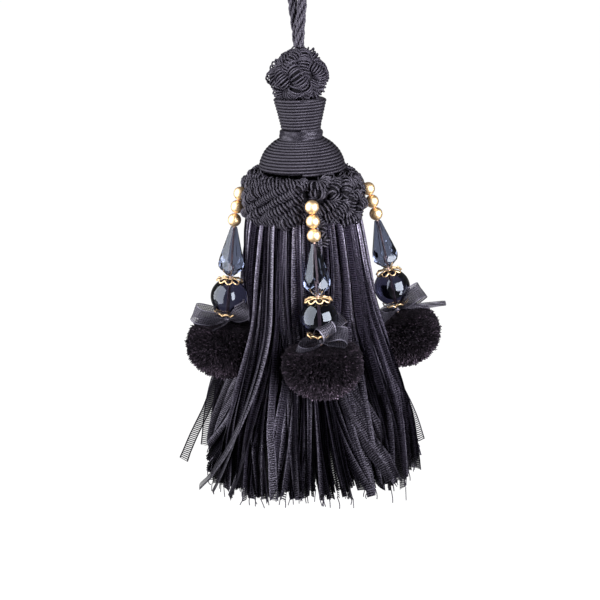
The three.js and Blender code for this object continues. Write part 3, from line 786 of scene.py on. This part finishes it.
def hung_ribbon(ribbon, random):
    """One ribbon from root to hem: its surface, and for each point how open it is and how light, with
    painted shade that darkens towards the hem
    """
    fall = np.linspace(0, 1, RIBBON_STEPS)
    z = RIBBON_ROOT + (ribbon["hem"] - RIBBON_ROOT) * fall
    sway = 0.02 * random.normal() * np.sin(fall * math.pi * random.uniform(0.7, 1.4))
    turn = math.radians(ribbon["turn"]) + math.radians(ribbon["drift"]) * fall ** ribbon["late"] + sway
    radius = ribbon["share"] * hang_radius(turn, z) + ribbon["out"] * fall ** ribbon["flick"]
    outward = np.stack([np.sin(turn), -np.cos(turn), 0 * turn], axis=1)
    sideways = np.stack([np.cos(turn), np.sin(turn), 0 * turn], axis=1)
    middle = about_axis(radius, turn, z)
    lie = np.radians(ribbon["lie"][0] + (ribbon["lie"][1] - ribbon["lie"][0]) * fall)
    lie = lie + 0.22 * np.sin(fall * random.uniform(2, 5) + random.uniform(0, 6))
    across = sideways * np.cos(lie)[:, None] + outward * np.sin(lie)[:, None]
    along = unit(np.gradient(middle, axis=0))
    across = unit(across - along * np.sum(across * along, axis=1, keepdims=True))
    facing = np.cross(across, along)
    width = np.linspace(-0.5, 0.5, RIBBON_COLUMNS)
    gather = np.clip(0.6 + 1.2 * fall, 0, 1)[:, None, None]
    dished = random.uniform(-0.8, 0.8) * (width**2 - 0.25) * 4
    points = (middle[:, None] + across[:, None] * (width * RIBBON_WIDTH)[None, :, None] * gather
              + facing[:, None] * dished[None, :, None])
    points[-1, :, 2] += 0.25 * random.normal() * width * RIBBON_WIDTH
    run = np.concatenate([[0], np.cumsum(np.linalg.norm(np.diff(middle, axis=0), axis=1))])
    uv = rows_of(run + random.uniform(0, 400), (width + 0.5) * RIBBON_WIDTH)
    openness = np.clip((run - run[-1] + ribbon["open"]) / LADDER_RAMP, 0, 1)
    # painted shade: lighter at the root, darker towards the hem
    shade = ribbon["shade"] * (ROOT_SHADE + (HEM_SHADE - ROOT_SHADE) * np.sqrt(fall))
    extra = np.repeat(np.stack([openness, shade], axis=1)[:, None], RIBBON_COLUMNS, axis=1)
    return woven(points, uv), extra.reshape(-1, 2), middle[-1], across[-1]


random = np.random.default_rng(11)
rows = [dict(ribbon, share=1.03) for ribbon in STRAY_RIBBONS]
for ring in RIBBON_RINGS:
    for i in range(ring["count"]):
        turn = 360 * (i + random.uniform(-0.35, 0.35)) / ring["count"]
        behind_strand = BEHIND_STRAND[0] < (turn + 180) % 360 - 180 < BEHIND_STRAND[1]
        slanted = random.uniform(64 if behind_strand else 58, 88) * random.choice([-1, 1])
        flat = random.uniform() < (0.03 if behind_strand else 0.07)
        # painted shade: ribbons of the inner rings are darker
        inner_ring_shade = 0.4 + 0.6 * ring["share"] ** 4
        rows.append({
            "turn": turn, "drift": 7 * random.normal(), "late": random.uniform(1.2, 2.6),
            "out": random.uniform(-0.8, 1.4), "hem": HEM + 1.2 * random.normal(),
            "share": ring["share"] * (1 + ring["loose"] * random.uniform(-1, 0.4)),
            "lie": random.normal(0, 34, 2) if flat else slanted + random.normal(0, 12, 2),
            "flick": 1.5,
            "open": random.choice([0, 6, 12, 40], p=[0.55, 0.25, 0.12, 0.08]),
            # painted shade: ribbons behind the front strand are a little darker
            "shade": random.uniform(0.5, 1.1) * inner_ring_shade * (0.9 if behind_strand else 1),
        })
ribbons, extras = [], []
for row in rows:
    surface, extra, end, lie = hung_ribbon(row, random)
    ribbons.append(surface)
    extras.append(extra)
    for edge in (-0.5, 0.5):
        if random.uniform() < FRAY["share"]:
            drop = np.array([0.4 * random.normal(), 0.4 * random.normal(),
                             -random.uniform(*FRAY["length"])])
            start = end + lie * edge * RIBBON_WIDTH * 0.92
            bent = start + drop * 0.5 + 0.14 * random.normal(size=3)
            route = smooth_route([start - drop * 0.2, bent, start + drop], step=0.8)
            fray = tube(route, FRAY["radius"], around=3)
            ribbons.append(fray)
            extras.append(np.tile([0, 0.6], (len(fray[0]), 1)))
skirt = make_piece("ribbon_skirt", ribbons, ribbon_finish, extra=np.concatenate(extras))
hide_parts("skirt")


# Strands: each is threaded on brown thread from under the ruff. From the top it carries three
# satin gold beads, a faceted glass drop, a pierced gold cap, a round glass bead and a small cap.
GOLD_RADIUS = 2.2
THREAD_RADIUS = 0.36
DROP = {"top": 11.3, "length": 16.4, "sides": 8}
ROUND = {"radius": 6.05, "down": 35}


def strand_places(strand):
    """The strand's own axes at its first bead: outward, along the skirt and up"""
    turn = Matrix.Rotation(math.radians(strand["turn"] - 90), 4, "Z")
    lean = Matrix.Rotation(-math.radians(strand["lean"]), 4, "Y")
    swing = Matrix.Rotation(math.radians(strand["swing"]), 4, "X")
    return turn @ Matrix.Translation((strand["reach"], 0, strand["height"])) @ lean @ swing


def bead_place(strand, down):
    """The axes of a gold bead, which leans in over the ruff's slope"""
    slope = math.atan2(strand["tuck"], 2 * GOLD_PITCH)
    tuck = strand["tuck"] * (1 - down / (2 * GOLD_PITCH))
    return strand_places(strand) @ Matrix.Translation((-tuck, 0, -down)) @ Matrix.Rotation(-slope, 4, "Y")


def hung(surface, strand, place=None):
    """A surface made about a strand's own axis, moved to where the strand hangs"""
    points, quads, corners = surface
    move = np.array(place or strand_places(strand))
    return points @ move[:3, :3].T + move[:3, 3], quads, corners


def turned(profile, around=32):
    """A surface turned round an upright axis, from rows of radius and height, top row first"""
    profile = np.asarray(profile, float)
    turn = math.pi / 2 + all_round(around)
    points = about_axis(profile[:, :1], turn, profile[:, 1:])[:, ::-1]
    return woven(points, rows_of(profile[:, 1], np.linspace(0, 10, around + 1)), capped=True)


gold_finish = plain_finish("satin_gold", {"Metallic": 1.0})
tree = gold_finish.node_tree
spot = add_node(tree, "ShaderNodeTexCoord").outputs["Object"]
cloud = clouds(tree, spot, 900, detail=3)
grain = {"Height": clouds(tree, spot, 6000), "Strength": 0.12, "Distance": 0.00004}
dress(gold_finish, {
    "Base Color": blended(tree, cloud, (0.64, 0.42, 0.22, 1), (0.8, 0.58, 0.34, 1)),
    "Roughness": ranged(tree, cloud, wanted=(0.36, 0.52)),
    "Normal": add_node(tree, "ShaderNodeBump", grain).outputs[0]})

brown_thread = thread_finish(
    "brown_thread", dark=(0.3, 0.18, 0.14), light=(0.85, 0.58, 0.48), pitch=0.25,
    slant=1, wander=0.4, rough=(0.5, 0.7), raise_by=0.03)

angle = np.linspace(0.17, math.pi - 0.17, 20)
bead_profile = GOLD_RADIUS * np.stack([np.sin(angle), np.cos(angle)], axis=1)
for strand in STRANDS:
    for i in range(3):
        surface = hung(turned(bead_profile), strand, bead_place(strand, i * GOLD_PITCH))
        bead = make_piece(f"{strand['name']}_satin_bead_{i + 1}", [surface], gold_finish)
        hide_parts(f"{strand['name']}_gold_bead_{i + 1}")
    down = np.arange(0, 44.5, 0.9)
    tuck = strand["tuck"] * np.maximum(0, 1 - down / (2 * GOLD_PITCH))
    thread = tube(np.stack([-tuck, 0 * down, -down], axis=1), THREAD_RADIUS)
    make_piece(f"{strand['name']}_thread", [hung(thread, strand)], brown_thread)


# Glass: smoky navy, pressed and polished. The drop has long kite facets, a belt of six-sided
# facets round its widest part, and short facets under them. The round bead is darker and smooth.
def glass_finish(name, color, roughness):
    """Tinted glass whose polish is a little uneven"""
    material = plain_finish(name, {"Transmission Weight": 1.0, "IOR": 1.5, "Base Color": color,
                                   "Specular Tint": (0.84, 0.89, 1, 1)})
    tree = material.node_tree
    cloud = clouds(tree, add_node(tree, "ShaderNodeTexCoord").outputs["Object"], 400)
    dress(material, {"Roughness": ranged(tree, cloud, wanted=(0.5 * roughness, 1.5 * roughness))})
    return material


drop_glass = glass_finish("smoky_blue_glass", (0.088, 0.102, 0.155, 1), 0.02)
round_glass = glass_finish("dark_navy_glass", (0.022, 0.022, 0.044, 1), 0.015)


def facet_corner(middle, beside):
    """Depth and radius at which the middle line of a facet meets the facets on its two sides.
    A facet is the pair a, b: its distance from the axis is a + b * depth."""
    narrow = math.cos(math.pi / DROP["sides"])
    depth = (beside[0] - middle[0] * narrow) / (middle[1] * narrow - beside[1])
    return depth, middle[0] + middle[1] * depth


def cut_drop():
    """Corners and faces of the faceted drop about its own axis"""
    kite, belt, foot = (1.05, 0.262), (5.2, -0.1), (18.4, -1.05)
    sides, length = DROP["sides"], DROP["length"]
    narrow = math.cos(math.pi / sides)
    rings = [(0, kite[0] / narrow, 0.5), (*facet_corner(belt, kite), 0.5), (*facet_corner(kite, belt), 0),
             (*facet_corner(foot, belt), 0), (*facet_corner(belt, foot), 0.5),
             (length, (foot[0] + foot[1] * length) / narrow, 0.5)]
    corners = []
    for depth, radius, half in rings:
        for k in range(sides):
            turn = 2 * math.pi * (k + half) / sides
            corners.append((radius * math.cos(turn), radius * math.sin(turn), -DROP["top"] - depth))
    rim, crown, upper, lower, base, end = ([r * sides + k for k in range(sides)] for r in range(6))
    faces = [rim, end[::-1]]
    for k in range(sides):
        before, after = k - 1, (k + 1) % sides
        faces.append([rim[k], rim[before], crown[before], upper[k], crown[k]])
        faces.append([crown[k], upper[k], lower[k], base[k], lower[after], upper[after]])
        faces.append([lower[k], base[before], end[before], end[k], base[k]])
    return np.array(corners), faces


angle = np.linspace(0.12, math.pi - 0.12, 30)
ball_profile = ROUND["radius"] * np.stack([np.sin(angle), np.cos(angle)], axis=1) - [0, ROUND["down"]]
drop_corners, drop_faces = cut_drop()
for strand in STRANDS:
    placed, faces, _ = hung((drop_corners, drop_faces, ()), strand)
    mesh = bpy.data.meshes.new(f"{strand['name']}_cut_drop")
    mesh.from_pydata([tuple(corner) for corner in placed * 0.001], [], faces)
    drop = as_piece(f"{strand['name']}_cut_drop", mesh, drop_glass)
    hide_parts(f"{strand['name']}_teardrop")
    ball = hung(turned(ball_profile, 48), strand)
    round_bead = make_piece(f"{strand['name']}_ball_bead", [ball], round_glass)
    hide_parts(f"{strand['name']}_round_bead")


# Caps: stamped gold filigree, a ring of open petals between a hub and a scalloped rim. One lies
# nearly flat between drop and round bead, its like bears on the bead from below.
CAP_WIRE = 0.17
CAP_DOME = 12
PETALS = 9


def cap_wires(side, rim, petals):
    """The wires of a cap that bears on the round bead, above it where side is 1 and else below it"""
    shell = ROUND["radius"] + 0.35
    flatter = CAP_DOME - shell
    angle = np.linspace(0, 2 * math.pi, 40)

    def on_cap(radius, turn, lift=0.0):
        rise = np.sqrt((shell + flatter) ** 2 - radius**2) - flatter + lift
        return np.stack([radius * np.cos(turn), radius * np.sin(turn), side * rise - ROUND["down"]], axis=1)

    wires = [tube(on_cap(0.3 * rim + 0 * angle, angle), CAP_WIRE * 1.6, around=6)]
    round_rim = np.linspace(0, 2 * math.pi, petals * 14)
    wave = np.abs(np.cos(petals * round_rim / 2))
    edge = on_cap(rim * (0.88 + 0.14 * wave), round_rim, 0.4 - 0.75 * wave)
    wires.append(tube(edge, CAP_WIRE * 1.3, around=6))
    for k in range(petals):
        middle = 2 * math.pi * k / petals
        spoke = np.linspace(0.3, 0.9, 8)
        for bend in (-1, 1):
            arc = bend * math.pi / petals * np.sin(spoke * 2.6)
            wires.append(tube(on_cap(rim * spoke, middle + arc, 0.25 * spoke), CAP_WIRE, around=6))
    return wires


for strand in STRANDS:
    for side, rim, where, node in ((1, 4.3, "upper", "bead_cap"), (-1, 4.2, "lower", "lower_cap")):
        wires = [hung(wire, strand) for wire in cap_wires(side, rim, PETALS)]
        cap = make_piece(f"{strand['name']}_filigree_{where}", wires, gold_finish)
        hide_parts(f"{strand['name']}_{node}")


# Bows: loops and tails of sheer charcoal organza ribbon, gathered and tied between the lower cap
# and the pompom. Each row is one loop or cut tail: its heading from outward, its lift, how far its
# width is rolled over from upright, its length, how wide the loop stands open and its own width.
KNOT_DOWN = 42.9
WEAVE = {"along": 0.72, "across": 0.115}
BOW_COLUMNS = ("strand", "heading", "lift", "roll", "length", "belly", "width")
BOWS = [dict(zip(BOW_COLUMNS, row)) for row in (
    ("front", -62, -10, 34, 9, 2.2, 5),
    ("front", 10, 40, 62, 9.4, 2.2, 5.8),
    ("front", 56, 14, 46, 9.6, 2.4, 5.4),
    ("front", 96, 40, 40, 10.4, 2, 4.6),
    ("left", 16, 12, 18, 12.2, 2.1, 6),
    ("left", 132, 34, -24, 12, 1.5, 6.2),
    ("left", 58, -16, 50, 10.5, 0, 6),
    ("left", -70, 14, 20, 9, 2, 5.6),
    ("right", -24, 30, 20, 11.5, 2.8, 5.8),
    ("right", -136, 8, 40, 10.5, 1.6, 5),
    ("right", 2, -9, 10, 17, 1.7, 1.6),
    ("right", 84, 16, 24, 9.5, 2.2, 5.8),
    ("back", -80, 16, 20, 10.5, 2.2, 6),
    ("back", 84, 14, -14, 10.5, 2.2, 6),
    ("back", 8, 14, 62, 8, 2.4, 6),
    ("back", 40, -10, 56, 9, 0, 5.6),
)]

organza_finish = thread_finish(
    "organza", dark=(0.003, 0.0028, 0.004), light=(0.03, 0.0275, 0.036), pitch=0.33,
    slant=0, wander=0.3, rough=(0.3, 0.5), raise_by=0.05)
tree = organza_finish.node_tree
place, along, across = laid_place(tree)
warp = reckoned(tree, "SINE", reckoned(tree, "MULTIPLY", along, 2 * math.pi / WEAVE["along"]))
weft = reckoned(tree, "SINE", reckoned(tree, "MULTIPLY", across, 2 * math.pi / WEAVE["across"]))
thread = ranged(tree, reckoned(tree, "MAXIMUM", warp, weft), given=(-0.1, 0.9))
from_middle = reckoned(tree, "ABSOLUTE", reckoned(tree, "SUBTRACT", across, 0.5))
selvedge = ranged(tree, from_middle, given=(0.42, 0.445))
closed = reckoned(tree, "MAXIMUM", thread, selvedge)
bright = reckoned(tree, "ADD", closed, selvedge)
shaded(organza_finish, ranged(tree, bright, (0, 2), (0.3, 3.2)))
dress(organza_finish, {"Alpha": ranged(tree, closed, wanted=(0.6, 1)),
                       "Specular IOR Level": ranged(tree, bright, (0, 2), (0.1, 0.9))})


def bow_ribbon(row, random):
    """A loop, or a tail where belly is 0, of ribbon that leaves the knot in its own direction"""
    length, belly = row["length"], row["belly"]
    if belly:
        route = [(0.3, -0.2, 0), (0.4 * length, -0.9 * belly, 0), (0.78 * length, -belly, 0),
                 (length, -0.3 * belly, 0), (0.94 * length, 0.6 * belly, 0), (0.6 * length, belly, 0),
                 (0.3, 0.2, 0)]
    else:
        route = [(0.3, 0, 0), (0.4 * length, 0.6, 0), (0.75 * length, -0.3, 0), (length, -1, 0)]
    path = smooth_route(route, step=0.35)
    run = run_along(path)
    spread = np.clip((path[:, :1] - 0.8) / (0.55 * length), 0, 1)
    width = row["width"] * (0.22 + 0.78 * spread * (2 - spread))
    columns = np.linspace(-0.5, 0.5, 9)[None]
    crease = 0.45 * (1 - spread) * np.cos(columns * 14)
    crease = crease + 0.3 * spread * np.sin(columns * 5 + run[:, None] * 0.7)
    heading, lift, roll = (math.radians(row[angle]) for angle in ("heading", "lift", "roll"))
    forward = math.cos(lift)
    ahead = np.array([math.cos(heading) * forward, math.sin(heading) * forward, math.sin(lift)])
    level = np.array([-math.sin(heading), math.cos(heading), 0])
    upright = np.cross(ahead, level)
    across = math.cos(roll) * upright + math.sin(roll) * level
    opening = np.cross(across, ahead)
    slant = 0 if belly else 0.35 * np.clip(path[:, :1] / length, 0, 1) ** 4
    points = (ahead * (path[:, :1] + slant * columns * width)[..., None]
              + opening * (path[:, 1:2] + crease)[..., None] + across * (columns * width)[..., None])
    points[..., 2] -= KNOT_DOWN
    return woven(points, rows_of(run, columns[0] + 0.5))


knot_angle = np.linspace(0.3, math.pi - 0.3, 8)
bow_knot = np.stack([1.3 * np.sin(knot_angle), 1.1 * np.cos(knot_angle) - KNOT_DOWN], axis=1)
for strand in STRANDS:
    cloth = [bow_ribbon(row, random) for row in BOWS if row["strand"] == strand["name"]]
    cloth = [hung(surface, strand) for surface in cloth + [turned(bow_knot, 12)]]
    bow = make_piece(f"{strand['name']}_organza_bow", cloth, organza_finish)
    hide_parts(f"{strand['name']}_bow")


# Pompoms: lengths of matt black yarn tied at the middle, brushed round and clipped to a ball.
# Each cut end frays into a few fibres. The bow presses a hollow into the top.
POMPOM_SIZE = np.array([12.7, 12.7, 10.9])
HEART_SHARE = 0.9
YARN_ENDS = 5200
FIBRES = 3

pompom_finish = thread_finish(
    "pompom_yarn", dark=(0.0015, 0.001, 0.0015), light=(0.0115, 0.0085, 0.0115), pitch=0.5,
    slant=0, wander=1, rough=(0.6, 0.9), raise_by=0.04, sheen=0.16)
# the yarn's colour is scaled by a painted light level kept with each point
shaded(pompom_finish, laid_place(pompom_finish.node_tree, "cut")[2])


def pompom_yarn(random, down):
    """All fibres of a pompom about its own middle, as three-sided spikes, and the painted light level of
    each
    """
    k = np.arange(YARN_ENDS) + 0.5
    up = 1 - 2 * k / YARN_ENDS
    around = math.pi * (1 + math.sqrt(5)) * k
    ring = np.sqrt(1 - up**2)
    toward = np.stack([ring * np.cos(around), ring * np.sin(around), up], axis=1)
    toward = unit(toward + 0.05 * random.normal(size=toward.shape))
    toward = np.repeat(toward, FIBRES, axis=0)
    count = len(toward)
    reach = np.repeat(0.995 + 0.009 * random.normal(size=YARN_ENDS), FIBRES)
    reach = reach * (1 + 0.006 * random.normal(size=count))
    stray = 0.03 * random.normal(size=(count, 3))
    root, tip = toward * 0.84 * reach[:, None], toward * reach[:, None] + stray
    side = unit(np.cross(toward, unit(random.normal(size=(count, 3)))))
    other = np.cross(toward, side)
    thick = 0.22 / POMPOM_SIZE[0]
    rings = []
    for middle, size in ((root, 1.4), (tip, 0.8)):
        for turn in (0, 2 * math.pi / 3, 4 * math.pi / 3):
            rings.append(middle + thick * size * (side * math.cos(turn) + other * math.sin(turn)))
    points = np.stack(rings, axis=1) * POMPOM_SIZE
    first = 6 * np.arange(count)[:, None, None]
    walls = [(a, b, 3 + b, 3 + a) for a, b in ((0, 1), (1, 2), (2, 0))]
    quads = (first + np.array(walls)).reshape(-1, 4)
    corners = np.tile(np.array([[0, 0], [0, 0.4], [1, 0.4], [1, 0]]), (len(quads), 1, 1))
    corners = corners + random.uniform(0, 60, size=(count, 1, 1, 2)).repeat(3, axis=1).reshape(-1, 1, 2)
    # painted light: rare fibres get painted glints, fibres facing down are painted lighter as if lit from
    # below, and roots are painted a quarter as light as tips for the shade inside the pompom
    glint_draw, under = random.uniform(size=(2, count)), np.clip(-toward[:, 2] - 0.25, 0, 1)
    light = 1.2 + 14 * glint_draw[0] ** 8 + 44 * under * glint_draw[1] ** 4
    painted_fibre_light = np.stack([0.25 * light, light], axis=1).repeat(3, axis=1).reshape(-1)
    return (pressed(points.reshape(-1, 3), down), quads, corners), painted_fibre_light


def pressed(points, down):
    """Points of a pompom with the hollow under the bow, moved down the strand to hang there"""
    top = down - KNOT_DOWN - 2.1
    lowered = np.where(points[:, 2] > top, top + 0.12 * (points[:, 2] - top), points[:, 2])
    return np.stack([points[:, 0], points[:, 1], lowered - down], axis=1)


random = np.random.default_rng(3)
for strand in STRANDS:
    down = strand["pompom"]
    radius, half_height = HEART_SHARE * POMPOM_SIZE[1:]
    points, quads, corners = dark_ball(radius, half_height, 0, across=48, tall=28)
    points = points * (1 + 0.015 * random.normal(size=(len(points), 1)))
    heart = (pressed(points, down), quads, corners)
    yarn, light = pompom_yarn(random, down)
    # painted shade: the heart inside the yarn is painted at a fifth of the yarn's level
    light = np.concatenate([light, np.full(len(points), 0.2)])
    ball = make_piece(f"{strand['name']}_yarn_pompom", [hung(yarn, strand), hung(heart, strand)],
                      pompom_finish, extra=np.stack([0 * light, light], axis=1))
    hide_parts(f"{strand['name']}_pompom")
